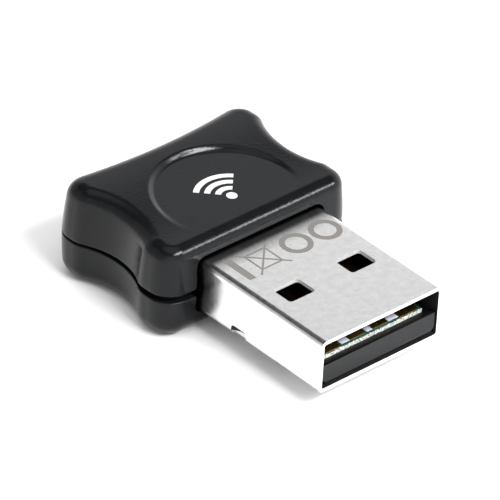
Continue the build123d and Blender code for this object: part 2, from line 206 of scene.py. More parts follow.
def body_outline():
    """Plan of the body, anticlockwise from the middle of its front: x, y, outward x and y, distance.

    The waist is a hollow arc between two round ones, and the angle that each turns follows from how
    far the waist goes in. The rear shoulder's arc meets the hollow rear edge where both have one normal.
    """
    turn = math.acos(1 - (HALF_WIDTH - WAIST_HALF_WIDTH) / (BLEND_RADIUS + WAIST_RADIUS))
    waist_run = (BLEND_RADIUS + WAIST_RADIUS) * math.sin(turn)
    corner_x = HALF_WIDTH - SHOULDER_RADIUS
    reach = REAR_RADIUS + SHOULDER_RADIUS
    corner_y = REAR_HOLLOW_Y + REAR_RADIUS - math.sqrt(reach ** 2 - corner_x ** 2)
    rear_turn = math.asin(corner_x / reach)
    steps = [corner_x, (SHOULDER_RADIUS, math.pi / 2), WAIST_Y - waist_run - SHOULDER_RADIUS,
             (BLEND_RADIUS, turn), (WAIST_RADIUS, -2 * turn), (BLEND_RADIUS, turn),
             corner_y - WAIST_Y - waist_run, (SHOULDER_RADIUS, math.pi / 2 + rear_turn),
             (REAR_RADIUS, -rear_turn)]
    points, outward, distance = arc_path((0, 0), 0, steps, 0.03)
    mirror = np.array([-1, 1])
    points = np.concatenate([points, points[-2::-1] * mirror])
    outward = np.concatenate([outward, outward[-2::-1] * mirror])
    distance = np.concatenate([distance, 2 * distance[-1] - distance[-2::-1]])
    return np.column_stack([points, outward, distance])


OUTLINE = body_outline()
PERIMETER = OUTLINE[-1, 4]
FRONT_RUN = HALF_WIDTH - SHOULDER_RADIUS      # straight part of the front, each side of its middle


def on_outline(distance, inset):
    """Points of the plan at a distance round it, moved inwards by the inset."""
    around = np.mod(distance, PERIMETER)
    x, y, out_x, out_y = (np.interp(around, OUTLINE[:, 4], OUTLINE[:, k]) for k in range(4))
    return x - out_x * inset, y - out_y * inset


def outward_y(distance):
    """The Y part of the outward normal at a distance round the plan: -1 at the front, 1 at the rear."""
    return np.interp(np.mod(distance, PERIMETER), OUTLINE[:, 4], OUTLINE[:, 3])


# ---- Top surface --------------------------------------------------------------------------------

FRONT_HEIGHT = 7.8          # flat front part, and the floor of the thumb dish
CROWN_RISE = 0.4
CROWN_START_Y = 1.5
CROWN_Y = 10.5
DISH_Y = 4.0
DISH_RIM = 6.0
DISH_WALL = 0.55            # width of the dish's sloping wall


def crown_height(y):
    """Height of the undished top: a sine squared from the flat front to the crest, and a little past it."""
    phase = np.clip((y - CROWN_START_Y) / (CROWN_Y - CROWN_START_Y), 0, 1.4)
    return FRONT_HEIGHT + CROWN_RISE * np.sin(phase * math.pi / 2) ** 2


def top_height(x, y):
    """The crown outside the dish's rim, the flat floor inside it, and a smooth cubic step between."""
    radius = np.hypot(x, y - DISH_Y)
    t = np.clip((radius - DISH_RIM + DISH_WALL) / DISH_WALL, 0, 1)
    return FRONT_HEIGHT + (crown_height(y) - FRONT_HEIGHT) * t * t * (3 - 2 * t)


# ---- Covers -------------------------------------------------------------------------------------

APERTURE_WIDTH = 12.6
APERTURE_HEIGHT = 4.85
APERTURE_RADIUS = 0.8
PLUG_AXIS_Z = 4.05
SEAM_CORNER = 0.2           # where the seam runs into the aperture
EDGE_ROUND = 0.1            # of the covers' edges at the seam and the aperture
TOP_INSET = 0.35            # how far the sides lean in from the parting plane to the top
BOTTOM_INSET = 0.22
LEAN_POWER = 1.6            # the lean grows as this power of the distance from the parting plane
RIM_RADIUS = 1.25           # of the top cover's upper edge at the sides
RIM_GROWTH = 0.2            # how much more that is at the rear, and less at the front
RIM_INSET = 0.25            # how far in from the outline the rim's height is taken
CROWDING = 1.6              # how strongly the top's points crowd together at the dish's wall
CROWDING_WIDTH = 0.35
TOP_REACH = 15              # beyond the furthest point of the top from the middle of the dish
UPRIGHT_SHARE = 0.55        # part of the front that the aperture's upright edge takes up further away
COLUMN_SPACING = 0.11
EDGE_ROWS = 5
WALL_ROWS = 15
RIM_ROWS = 17
FOOT_ROWS = 13
TOP_ROWS = 72
HAIR = 0.005                # keeps two surfaces from lying in one place
APERTURE_DEPTH = 1.25
SKIRT = 0.5                 # thickness of the top cover's side wall
CEILING_Z = 6.7
FLOOR_Z = 1.0
LIP_Z = 4.5                 # top of the bottom cover's locating lip
LIP_OUTSET = 0.55
LIP_INSET = 1.25
BOTTOM_ROUND = 1.5


def cover_edge(side):
    """Edge of a cover at the seam and the aperture, as columns of the cover's grid.

    The side is 1 for the top cover and -1 for the bottom one. The edge is drawn on the unrolled side
    wall, distance round the plan against height: along the aperture, round its corner, up or down to
    the seam, and round to the rear, where the seam has nearly closed. Returns the edge's distance and
    height, the direction into the cover, the distance of the same column above or below the aperture,
    and whether the column belongs to the aperture. The left half mirrors the right.
    """
    half = APERTURE_WIDTH / 2
    aperture_z = PLUG_AXIS_Z + side * APERTURE_HEIGHT / 2
    seam_z = PARTING_Z + side * FRONT_GAP / 2
    upright = abs(aperture_z - seam_z) - APERTURE_RADIUS - SEAM_CORNER
    quarter = math.pi / 2
    steps = [half - APERTURE_RADIUS, (APERTURE_RADIUS, -side * quarter), upright,
             (SEAM_CORNER, side * quarter), FRONT_RUN - half - SEAM_CORNER]
    edge, right, along = arc_path((0, aperture_z), 0, steps, COLUMN_SPACING)
    inward = -side * right
    upright_start = half - APERTURE_RADIUS + APERTURE_RADIUS * quarter
    corners_along = [0, half - APERTURE_RADIUS, upright_start, upright_start + upright, along[-1]]
    corners_round = [0, half - APERTURE_RADIUS, half, half + UPRIGHT_SHARE, FRONT_RUN]
    ring = np.interp(along, corners_along, corners_round)
    rest = np.arange(FRONT_RUN, PERIMETER / 2, COLUMN_SPACING)[1:]
    rest = np.append(rest, PERIMETER / 2)
    _, rest_y = on_outline(rest, 0)
    gap = FRONT_GAP + (REAR_GAP - FRONT_GAP) * np.clip(rest_y / BODY_LENGTH, 0, 1)
    distance = np.concatenate([edge[:, 0], rest])
    height = np.concatenate([edge[:, 1], PARTING_Z + side * gap / 2])
    inward = np.concatenate([inward, np.tile([0, side], (len(rest), 1))])
    ring = np.concatenate([ring, rest])
    seam_middle = along[-1] - 0.5 * (FRONT_RUN - half)
    in_aperture = np.concatenate([along < seam_middle, np.zeros(len(rest), bool)])
    back = slice(-2, 0, -1)
    return (np.concatenate([distance, PERIMETER - distance[back]]),
            np.concatenate([height, height[back]]),
            np.concatenate([inward, inward[back] * [-1, 1]]),
            np.concatenate([ring, PERIMETER - ring[back]]),
            np.concatenate([in_aperture, in_aperture[back]]))


def lean(height, side):
    """How far the side wall leans in at a height: a power of the distance from the parting plane."""
    if side > 0:
        return TOP_INSET * (np.clip(height - PARTING_Z, 0, None) / (FRONT_HEIGHT - PARTING_Z)) ** LEAN_POWER
    return BOTTOM_INSET * (np.clip(PARTING_Z - height, 0, None) / PARTING_Z) ** LEAN_POWER


def wall_rings(edge_s, edge_z, inward, ring_s, ring_z, depth, side):
    """Rings of a cover from its inner edge, round the edge and along the outer wall to a given height.

    The rounded edge is a quarter circle from the edge face to the wall. The wall's rows run straight on
    the unrolled wall from the rounded edge to the ring, and lean in with height.
    """
    rows = [(edge_s, edge_z, depth)]
    for angle in np.linspace(0, math.pi / 2, EDGE_ROWS):
        shift = EDGE_ROUND * (1 - math.cos(angle))
        rows.append((edge_s + inward[:, 0] * shift, edge_z + inward[:, 1] * shift,
                     EDGE_ROUND * (1 - math.sin(angle))))
    start_s, start_z, _ = rows[-1]
    for t in np.linspace(0, 1, WALL_ROWS)[1:]:
        rows.append((start_s + (ring_s - start_s) * t, start_z + (ring_z - start_z) * t, 0.0))
    return [np.stack([*on_outline(s, lean(z, side) + d), z], 1) for s, z, d in rows]


def build_top_cover():
    """Top cover: inner skin, edge, outer wall, rounded rim, then rays to the middle of the dish.

    The rim is a circular arc that starts in line with the wall and ends level; its radius grows from the
    front to the rear. Along each ray the points crowd together at the dish's wall: their spacing
    follows the inverse of r + a * tanh((r - wall) / w).
    """
    edge_s, edge_z, inward, ring_s, in_aperture = cover_edge(1)
    rim_radius = RIM_RADIUS + RIM_GROWTH * outward_y(ring_s)
    ring_z = top_height(*on_outline(ring_s, RIM_INSET)) - rim_radius
    wall_height = FRONT_HEIGHT - PARTING_Z
    tilt = np.arctan(LEAN_POWER * TOP_INSET / wall_height
                     * ((ring_z - PARTING_Z) / wall_height) ** (LEAN_POWER - 1))
    ring_z = ring_z + rim_radius * np.sin(tilt)
    depth = np.where(in_aperture, APERTURE_DEPTH, SKIRT)
    rings = wall_rings(edge_s, edge_z, inward, ring_s, ring_z, depth, 1)
    foot = lean(ring_z, 1)
    for t in np.linspace(0, 1, RIM_ROWS)[1:]:
        angle = tilt + (math.pi / 2 - tilt) * t
        x, y = on_outline(ring_s, foot + rim_radius * (np.cos(tilt) - np.cos(angle)))
        rings.append(np.stack([x, y, top_height(x, y) - rim_radius * (1 - np.sin(angle))], 1))
    rim_x, rim_y = rings[-1][:, 0], rings[-1][:, 1]
    length = np.hypot(rim_x, rim_y - DISH_Y)
    radii = np.linspace(0, TOP_REACH, 600)
    crowding = radii + CROWDING * np.tanh((radii - DISH_RIM + DISH_WALL / 2) / CROWDING_WIDTH)
    ends = np.interp(length, radii, crowding)
    for t in np.linspace(1, 0, TOP_ROWS)[1:-1]:
        r = np.interp(crowding[0] + (ends - crowding[0]) * t, crowding, radii)
        x = rim_x * r / length
        y = DISH_Y + (rim_y - DISH_Y) * r / length
        rings.append(np.stack([x, y, top_height(x, y)], 1))
    ceiling_x, ceiling_y = on_outline(ring_s, lean(edge_z, 1) + depth)
    skin = [np.stack([ceiling_x * k, WAIST_Y + (ceiling_y - WAIST_Y) * k, np.full(len(ring_s), CEILING_Z)], 1)
            for k in (0.5, 1.0)]
    rings = np.array(skin + rings)
    return ring_stack(rings, (0, WAIST_Y, CEILING_Z), (0, DISH_Y, FRONT_HEIGHT))


def build_bottom_cover():
    """Bottom cover: inner floor, locating lip, edge, outer wall, rounded foot and flat underside."""
    edge_s, edge_z, inward, ring_s, in_aperture = cover_edge(-1)
    ring_z = np.full(len(ring_s), BOTTOM_ROUND)
    rings = wall_rings(edge_s, edge_z, inward, ring_s, ring_z,
                       np.where(in_aperture, APERTURE_DEPTH, LIP_OUTSET), -1)
    foot = lean(ring_z, -1)
    for angle in np.linspace(0, math.pi / 2, FOOT_ROWS)[1:]:
        x, y = on_outline(ring_s, foot + BOTTOM_ROUND * (1 - math.cos(angle)))
        rings.append(np.stack([x, y, np.full(len(x), BOTTOM_ROUND * (1 - math.sin(angle)))], 1))
    x, y = rings[-1][:, 0], rings[-1][:, 1]
    for k in (0.75, 0.5, 0.25):
        rings.append(np.stack([x * k, WAIST_Y + (y - WAIST_Y) * k, np.zeros(len(x))], 1))
    lip_top = np.where(in_aperture, edge_z, LIP_Z)
    inner = np.where(in_aperture, APERTURE_DEPTH + 2 * HAIR, LIP_INSET)
    inside = [(ring_s, np.full(len(ring_s), FLOOR_Z), inner), (edge_s, lip_top, inner),
              (edge_s, lip_top, np.where(in_aperture, APERTURE_DEPTH + HAIR, LIP_OUTSET))]
    skin = [np.stack([*on_outline(s, d), z], 1) for s, z, d in inside]
    rings = np.array(skin + rings)
    return ring_stack(rings, (0, WAIST_Y, FLOOR_Z), (0, WAIST_Y, 0))


top_points, top_faces = build_top_cover()
top_piece = make_piece("top_cover_skin", top_points, top_faces, "black_plastic", "top_cover", crease=50)
bottom_points, bottom_faces = build_bottom_cover()
bottom_piece = make_piece("bottom_cover_skin", bottom_points, bottom_faces, "black_plastic",
                          "bottom_cover", crease=50)


# ---- Plug shell ---------------------------------------------------------------------------------

SHELL_LOW, SHELL_HIGH = (np.array(corner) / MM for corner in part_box("plug_shell"))
SHELL_WIDTH = SHELL_HIGH[0] - SHELL_LOW[0]
SHELL_HEIGHT = SHELL_HIGH[2] - SHELL_LOW[2]
SHELL_WALL = 0.3
SHELL_CORNER = 0.5
WINDOW = (2.5, 2.0, 0.3)            # width, length and corner radius
WINDOW_X = 3.06
WINDOW_Y = -6.83
NOTCH = (1.65, 1.8, 0.35)           # length, twice its height above the underside, corner radius
NOTCH_Y = -4.3
TONGUE = (0.8, 0.5, 0.5, 0.3)       # length, root, how far it leans inwards, height
TONGUE_LIFT = 0.05                  # above the shell's lower wall
TONGUE_TUCK = 0.02                  # its root stops this far short of the wall's outer face
BEVEL = 0.1                         # of the shell's edges
TONGUE_BEVEL = 0.05


def build_shell_tube():
    """The rounded section carried along Y: an outer and an inner surface joined at both ends."""
    outer = rounded_rectangle(SHELL_WIDTH, SHELL_HEIGHT, SHELL_CORNER)
    shrink = SHELL_CORNER - SHELL_WALL
    core = np.array([SHELL_WIDTH / 2 - SHELL_CORNER, SHELL_HEIGHT / 2 - SHELL_CORNER])
    hub = np.clip(outer, -core, core)
    inner = hub + (outer - hub) * shrink / SHELL_CORNER
    rows = [(outer, SHELL_LOW[1]), (outer, SHELL_HIGH[1]), (inner, SHELL_HIGH[1]), (inner, SHELL_LOW[1])]
    rings = [np.column_stack([s[:, 0], np.full(len(s), y), s[:, 1] + PLUG_AXIS_Z]) for s, y in rows]
    return np.concatenate(rings), grid_quads(4, len(outer), wrap_rows=True)


def shell_cutters():
    """Prisms for the latch windows above and below, and for the notch in each side wall's lower edge."""
    cutters = []
    window = rounded_rectangle(*WINDOW, spacing=0.08)
    for side in (-1, 1):
        cutters.append(prism(window + [side * WINDOW_X, WINDOW_Y], SHELL_LOW[2] - 1, SHELL_HIGH[2] + 1))
        notch, faces = prism(rounded_rectangle(*NOTCH, spacing=0.08), 0, 1.5)
        start = SHELL_WIDTH / 2 - SHELL_CORNER
        sheared = np.column_stack([start + notch[:, 2], notch[:, 0] + NOTCH_Y, notch[:, 1] + SHELL_LOW[2]])
        if side < 0:
            sheared = sheared * [-1, 1, 1]
            faces = [face[::-1] for face in faces]
        cutters.append((sheared, faces))
    return cutters


def shell_tongues():
    """The two tongues bent inwards from the notches' rear edges, as slanted slabs."""
    length, root, tilt, height = TONGUE
    inner = SHELL_WIDTH / 2 - SHELL_WALL
    rear = NOTCH_Y + NOTCH[0] / 2
    low = SHELL_LOW[2] + SHELL_WALL + TONGUE_LIFT
    plan = np.array([(inner + SHELL_WALL - TONGUE_TUCK, rear), (inner, rear + root),
                     (inner - tilt, rear - length), (inner - tilt + SHELL_WALL, rear - length)])
    slabs = [prism(plan, low, low + height)]
    slabs.append(prism((plan * [-1, 1])[::-1], low, low + height))
    return joined(slabs)


tube_points, tube_faces = build_shell_tube()
shell_piece = make_piece("plug_shell_pressing", tube_points, tube_faces, "nickel_steel",
                         "plug_shell", crease=30)
cut_and_bevel(shell_piece, shell_cutters(), BEVEL)
tongue_points, tongue_faces = shell_tongues()
tongue_piece = make_piece("plug_shell_tongues", tongue_points, tongue_faces, "nickel_steel", crease=30)
add_bevel(tongue_piece, TONGUE_BEVEL, 2)


# ---- Laser marks on the shell: a bar, a crossed square and two plain rings ----------------------

MARK_Y = -2.42
MARK_RISE = 0.006           # above the shell, so that the mark shows
MARK_SINK = 0.01            # below the shell's surface
BAR_X = -4.45
BAR_SIZE = (0.62, 3.0)
SQUARE_X = -2.1
SQUARE_SIZE = 2.0
SQUARE_STROKE = 0.15
DIAGONAL_REACH = 1.5        # of the diagonals, in half widths of the square
STROKE_STEP = 0.001         # each stroke of the square is lifted this much more than the last
RING_X = (1.15, 4.05)
RING_RADII = (0.85, 1.3)    # inner and outer


def stroke(start, end, width, lift):
    """A straight stroke of a mark as a thin slab."""
    start, end = np.array(start, float), np.array(end, float)
    along = (end - start) / np.linalg.norm(end - start)
    across = np.array([along[1], -along[0]]) * width / 2
    outline = np.array([start + across, end + across, end - across, start - across])
    return prism(outline, SHELL_HIGH[2] - MARK_SINK, SHELL_HIGH[2] + lift)


def ring_mark(centre, radii, count=96):
    """A flat ring: an outer and an inner circle at two heights, joined into one closed band."""
    inner, outer = radii
    angle = np.linspace(0, 2 * math.pi, count, endpoint=False)
    circle = np.stack([np.cos(angle), np.sin(angle)], 1)
    low, high = SHELL_HIGH[2] - MARK_SINK, SHELL_HIGH[2] + MARK_RISE
    rows = [(outer, low), (outer, high), (inner, high), (inner, low)]
    points = [np.column_stack([circle * radius + centre, np.full(count, z)]) for radius, z in rows]
    return np.concatenate(points), grid_quads(4, count, wrap_rows=True)


def crossed_square(centre, size, width):
    """Four sides and two longer diagonals, each lifted a little more than the last."""
    x, y = centre
    h = size / 2
    corners = [(x - h, y - h), (x + h, y - h), (x + h, y + h), (x - h, y + h)]
    strokes = [(corners[k], corners[(k + 1) % 4]) for k in range(4)]
    d = h * DIAGONAL_REACH
    strokes += [((x - d, y - d), (x + d, y + d)), ((x - d, y + d), (x + d, y - d))]
    return joined([stroke(a, b, width, MARK_RISE + STROKE_STEP * k) for k, (a, b) in enumerate(strokes)])


bar_width, bar_length = BAR_SIZE
bar = stroke((BAR_X, MARK_Y - bar_length / 2), (BAR_X, MARK_Y + bar_length / 2), bar_width, MARK_RISE)
marks = [("laser_bar", bar),
         ("laser_crossed_square", crossed_square((SQUARE_X, MARK_Y), SQUARE_SIZE, SQUARE_STROKE)),
         ("laser_ring_left", ring_mark((RING_X[0], MARK_Y), RING_RADII)),
         ("laser_ring_right", ring_mark((RING_X[1], MARK_Y), RING_RADII))]
mark_pieces = [make_piece(name, *shape, "nickel_steel", crease=30) for name, shape in marks]


# ---- Softened copies of CAD nodes ---------------------------------------------------------------

def softened(node, width):
    """A copy of a CAD node with its points merged, its flat faces whole and its edges rounded."""
    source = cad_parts[node]
    piece = bpy.data.objects.new(node + "_moulding", source.data.copy())
    bpy.context.scene.collection.objects.link(piece)
    weld = piece.modifiers.new("merged", "WELD")
    weld.merge_threshold = 1e-6
    flat = piece.modifiers.new("whole faces", "DECIMATE")
    flat.decimate_type = "DISSOLVE"
    flat.angle_limit = math.radians(1)
    add_bevel(piece, width, 2)
    settle(piece)
    piece.data.shade_smooth()
    piece.data.set_sharp_from_angle(angle=math.radians(35))
    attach(piece, "root")
    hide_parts(node)
    return piece


carrier_piece = softened("contact_carrier", 0.04)


# ---- Materials ----------------------------------------------------------------------------------

NOISE_RANGE = {"From Min": 0.3, "From Max": 0.7}        # where most of a noise's values lie
COLOUR_A, COLOUR_B, COLOUR_OUT = 6, 7, 2                # a Mix node's colour sockets, whose names are shared
WAVE_LENGTH = 2 * math.pi / 20                          # of a wave pattern whose scale is 1


def srgb(code):
    """Linear colour of an sRGB hex value."""
    parts = [int(code[k:k + 2], 16) / 255 for k in (1, 3, 5)]
    return [p / 12.92 if p <= 0.04045 else ((p + 0.055) / 1.055) ** 2.4 for p in parts] + [1.0]


def per_mm(size):
    """The scale of a pattern whose blotches or waves are to have a size in millimetres."""
    return 1 / MM / size


def connect(tree, node, links):
    """Links outputs to a node's input sockets, given by name, or by number where a name is shared."""
    for key, source in links.items():
        tree.links.new(source, node.inputs[key])


def add(tree, kind, settings, links):
    """Adds a node: lower-case settings are its properties, the others the values of its input sockets."""
    node = tree.nodes.new("ShaderNode" + kind)
    for key, value in settings.items():
        if isinstance(key, str) and key[0].islower():
            setattr(node, key, value)
        else:
            node.inputs[key].default_value = value
    connect(tree, node, links)
    return node


def new_material(name, settings):
    """A material whose shader has the given sockets set, with its tree, shader and object coordinates."""
    material = bpy.data.materials.new(name)
    material.use_nodes = True
    tree = material.node_tree
    shader = tree.nodes["Principled BSDF"]
    for key, value in settings.items():
        shader.inputs[key].default_value = value
    return material, tree, shader, add(tree, "TexCoord", {}, {}).outputs["Object"]


def moulded_black_abs():
    """ABS, injection moulded in a finely spark-eroded mould: satin black whose grain breaks up highlights.

    Such a grain is a few hundredths of a millimetre, and is drawn at 0.2 mm so that it shows.
    """
    settings = {"IOR": 1.53, "Specular IOR Level": 0.19}
    material, tree, shader, place = new_material("moulded_black_abs", settings)
    grain = add(tree, "TexNoise", {"Scale": per_mm(0.2), "Detail": 3.0, "Roughness": 0.6}, {"Vector": place})
    clouds = add(tree, "TexNoise", {"Scale": per_mm(1.2)}, {"Vector": place})
    colour = add(tree, "Mix", {"data_type": "RGBA", COLOUR_A: srgb("#0a0b0d"), COLOUR_B: srgb("#101113")},
                 {"Factor": clouds.outputs["Fac"]})
    gloss = add(tree, "MapRange", {**NOISE_RANGE, "To Min": 0.13, "To Max": 0.18},
                {"Value": grain.outputs["Fac"]})
    relief = add(tree, "Bump", {"Strength": 1.0, "Distance": 0.014 * MM}, {"Height": grain.outputs["Fac"]})
    connect(tree, shader, {"Base Color": colour.outputs[COLOUR_OUT], "Roughness": gloss.outputs["Result"],
                           "Normal": relief.outputs["Normal"]})
    return material


def nickel_plated_steel():
    """Steel strip pressed to a tube and barrel plated with nickel: a satin white metal, faintly mottled.

    Painted shade darkens it where it enters the body, standing in for the shade of the body there. The
    painted shade grows with Y, and noise makes its border ragged. The finest unevenness is drawn at 0.09 mm,
    coarser than real, so that it softens highlights.
    """
    material, tree, shader, place = new_material("nickel_plated_steel", {"Metallic": 1.0})
    mottle = add(tree, "TexNoise", {"Scale": per_mm(0.7), "Detail": 5.0, "Roughness": 0.7},
                 {"Vector": place}).outputs["Fac"]
    fine = add(tree, "TexNoise", {"Scale": per_mm(0.09)}, {"Vector": place})
    contrast = add(tree, "MapRange", NOISE_RANGE, {"Value": mottle})
    clean = add(tree, "Mix", {"data_type": "RGBA", COLOUR_A: srgb("#e0e1e1"), COLOUR_B: srgb("#fbfbfa")},
                {"Factor": contrast.outputs["Result"]})
    border = add(tree, "TexNoise", {"Scale": per_mm(0.25), "Detail": 4.0, "Roughness": 0.7},
                 {"Vector": place})
    along = add(tree, "SeparateXYZ", {}, {"Vector": place})
    ragged = add(tree, "Math", {"operation": "MULTIPLY_ADD", 1: 0.8 * MM},
                 {0: border.outputs["Fac"], 2: along.outputs["Y"]})
    # Painted shade: the colour goes to #2e2e2f towards the body, standing in for the shade the body casts
    near_body_shade = add(tree, "MapRange", {"From Min": -1.7 * MM, "From Max": 0.8 * MM},
                {"Value": ragged.outputs["Value"]})
    colour = add(tree, "Mix", {"data_type": "RGBA", COLOUR_B: srgb("#2e2e2f")},
                 {"Factor": near_body_shade.outputs["Result"], COLOUR_A: clean.outputs[COLOUR_OUT]})
    gloss = add(tree, "MapRange", {**NOISE_RANGE, "To Min": 0.2, "To Max": 0.26}, {"Value": mottle})
    relief = add(tree, "Bump", {"Strength": 1.0, "Distance": 0.0008 * MM}, {"Height": fine.outputs["Fac"]})
    connect(tree, shader, {"Base Color": colour.outputs[COLOUR_OUT], "Roughness": gloss.outputs["Result"],
                           "Normal": relief.outputs["Normal"]})
    return material


def laser_marked_nickel():
    """Nickel darkened by a marking laser: matt grey, with fine lines across from the beam's passes.

    The passes are a few hundredths of a millimetre apart, and are drawn 0.237 mm apart so that they show.
    """
    material, tree, shader, place = new_material("laser_marked_nickel", {"Metallic": 0.2})
    passes = add(tree, "TexWave", {"Scale": WAVE_LENGTH * per_mm(0.23687), "Distortion": 0.6},
                 {"Vector": place})
    colour = add(tree, "Mix", {"data_type": "RGBA", COLOUR_A: srgb("#5f5c59"), COLOUR_B: srgb("#726f6c")},
                 {"Factor": passes.outputs["Fac"]})
    grain = add(tree, "TexNoise", {"Scale": per_mm(0.1)}, {"Vector": place})
    gloss = add(tree, "MapRange", {**NOISE_RANGE, "To Min": 0.5, "To Max": 0.65},
                {"Value": grain.outputs["Fac"]})
    connect(tree, shader, {"Base Color": colour.outputs[COLOUR_OUT], "Roughness": gloss.outputs["Result"]})
    return material


def glass_filled_nylon():
    """Black nylon with glass fibre, moulded: matt dark grey with faint upright flow streaks.

    Faces that look up are painted darker, as shade, since they lie in the dark behind the board.
    """
    settings = {"IOR": 1.53, "Specular IOR Level": 0.2}
    material, tree, shader, place = new_material("glass_filled_nylon", settings)
    drawn_out = add(tree, "Mapping", {"Scale": (1.0, 1.0, 0.12)}, {"Vector": place})
    streaks = add(tree, "TexNoise", {"Scale": per_mm(0.25), "Detail": 3.0, "Roughness": 0.6},
                  {"Vector": drawn_out.outputs["Vector"]}).outputs["Fac"]
    face = add(tree, "Mix", {"data_type": "RGBA", COLOUR_A: srgb("#111213"), COLOUR_B: srgb("#1e1f21")},
               {"Factor": streaks})
    # Painted shade: faces that look up are coloured towards #040405
    surface = add(tree, "NewGeometry", {}, {})
    upward = add(tree, "SeparateXYZ", {}, {"Vector": surface.outputs["Normal"]})
    level = add(tree, "MapRange", NOISE_RANGE, {"Value": upward.outputs["Z"]})
    colour = add(tree, "Mix", {"data_type": "RGBA", COLOUR_B: srgb("#040405")},
                 {"Factor": level.outputs["Result"], COLOUR_A: face.outputs[COLOUR_OUT]})
    gloss = add(tree, "MapRange", {**NOISE_RANGE, "To Min": 0.42, "To Max": 0.55}, {"Value": streaks})
    relief = add(tree, "Bump", {"Strength": 1.0, "Distance": 0.003 * MM}, {"Height": streaks})
    connect(tree, shader, {"Base Color": colour.outputs[COLOUR_OUT], "Roughness": gloss.outputs["Result"],
                           "Normal": relief.outputs["Normal"]})
    return material


def masked_glass_board():
    """Glass-fibre board: glossy green solder mask above and below, pale ragged fibres at the cut edges.

    The mask covers faces that look up or down, except in front of a ragged line by the front edge, and is
    painted darker away from the mouth, as shade inside the shell. The fibres show as tufts of 0.12 mm,
    coarser than one fibre.
    """
    material, tree, shader, place = new_material("masked_glass_board", {"IOR": 1.5})
    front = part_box("circuit_board")[0][1]
    fibres = add(tree, "TexNoise", {"Scale": per_mm(0.12), "Detail": 4.0, "Roughness": 0.7},
                 {"Vector": place}).outputs["Fac"]
    along = add(tree, "SeparateXYZ", {}, {"Vector": place}).outputs["Y"]
    ragged = add(tree, "Math", {"operation": "MULTIPLY_ADD", 1: -0.5 * MM}, {0: fibres, 2: along})
    whole = add(tree, "MapRange", {"From Min": front - 0.28 * MM, "From Max": front - 0.18 * MM},
                {"Value": ragged.outputs["Value"]})
    surface = add(tree, "NewGeometry", {}, {})
    upward = add(tree, "SeparateXYZ", {}, {"Vector": surface.outputs["Normal"]})
    facing = add(tree, "Math", {"operation": "ABSOLUTE"}, {0: upward.outputs["Z"]})
    masked = add(tree, "Math", {"operation": "MULTIPLY"},
                 {0: facing.outputs["Value"], 1: whole.outputs["Result"]}).outputs["Value"]
    clouds = add(tree, "TexNoise", {"Scale": per_mm(0.7)}, {"Vector": place})
    green = add(tree, "Mix", {"data_type": "RGBA", COLOUR_A: srgb("#173d33"), COLOUR_B: srgb("#215245")},
                {"Factor": clouds.outputs["Fac"]})
    # Painted shade: the mask darkens to #070a09 away from the mouth, where little light reaches inside the
    # shell
    depth = add(tree, "MapRange", {"From Min": -11.5 * MM, "From Max": -10.0 * MM}, {"Value": along})
    mask = add(tree, "Mix", {"data_type": "RGBA", COLOUR_B: srgb("#070a09")},
               {"Factor": depth.outputs["Result"], COLOUR_A: green.outputs[COLOUR_OUT]})
    bundles = add(tree, "MapRange", {"From Min": 0.4, "From Max": 0.6}, {"Value": fibres})
    edge = add(tree, "Mix", {"data_type": "RGBA", COLOUR_A: srgb("#4f4f4b"), COLOUR_B: srgb("#f4f4f0")},
               {"Factor": bundles.outputs["Result"]})
    colour = add(tree, "Mix", {"data_type": "RGBA"},
                 {"Factor": masked, COLOUR_A: edge.outputs[COLOUR_OUT], COLOUR_B: mask.outputs[COLOUR_OUT]})
    gloss = add(tree, "MapRange", {"To Min": 0.75, "To Max": 0.28}, {"Value": masked})
    relief = add(tree, "Bump", {"Strength": 1.0, "Distance": 0.006 * MM}, {"Height": fibres})
    connect(tree, shader, {"Base Color": colour.outputs[COLOUR_OUT], "Roughness": gloss.outputs["Result"],
                           "Normal": relief.outputs["Normal"]})
    return material


def mottled(name, settings, size, colours, roughness, depth):
    """A material whose blotches, of a size in millimetres, vary its colour, its gloss and its relief."""
    material, tree, shader, place = new_material(name, settings)
    blotches = add(tree, "TexNoise", {"Scale": per_mm(size), "Detail": 3.0}, {"Vector": place}).outputs["Fac"]
    dark, light = colours
    smooth, rough = roughness
    colour = add(tree, "Mix", {"data_type": "RGBA", COLOUR_A: srgb(dark), COLOUR_B: srgb(light)},
                 {"Factor": blotches})
    gloss = add(tree, "MapRange", {**NOISE_RANGE, "To Min": smooth, "To Max": rough}, {"Value": blotches})
    connect(tree, shader, {"Base Color": colour.outputs[COLOUR_OUT], "Roughness": gloss.outputs["Result"]})
    if depth:
        relief = add(tree, "Bump", {"Strength": 1.0, "Distance": depth * MM}, {"Height": blotches})
        connect(tree, shader, {"Normal": relief.outputs["Normal"]})
    return material


METAL = {"Metallic": 1.0}
NON_METAL = {"IOR": 1.5}

BLACK_ABS = moulded_black_abs()
NICKEL = nickel_plated_steel()
LASER_MARK = laser_marked_nickel()
NYLON = glass_filled_nylon()
BOARD = masked_glass_board()
# Painted shade for the inside of the pressing and the tongues: dull nickel coloured dark to stand in
# for the shade inside the shell, so that it gives back little light
SHADED_INSIDE = mottled("painted_shade_inside", {"Metallic": 0.6}, 0.5, ("#1f1e1d", "#2d2c2b"), (0.45, 0.55), None)
# Steel sheared by the press and plated over: a pale, duller edge that catches light from all round
CUT_EDGE = mottled("sheared_edge", {"Metallic": 0.5}, 0.15, ("#d9dad9", "#f0f0ef"), (0.35, 0.45), None)
# Plated and soldered metals: soft mottling, with a little unevenness in their gloss. The mottling of
# plating is finer than 0.3 mm, and is drawn at that so that it shows
GOLD = mottled("hard_gold_plate", METAL, 0.3, ("#8f6c3c", "#a9824b"), (0.3, 0.42), 0.0006)
COPPER = mottled("copper_track", METAL, 0.3, ("#b06a48", "#c9835c"), (0.3, 0.42), 0.0006)
TIN = mottled("tin_solder", METAL, 0.3, ("#b4b6b8", "#d2d3d4"), (0.24, 0.36), 0.0006)
LID_METAL = mottled("plated_lid", METAL, 0.3, ("#b9ae98", "#cfc5b1"), (0.26, 0.38), 0.0006)
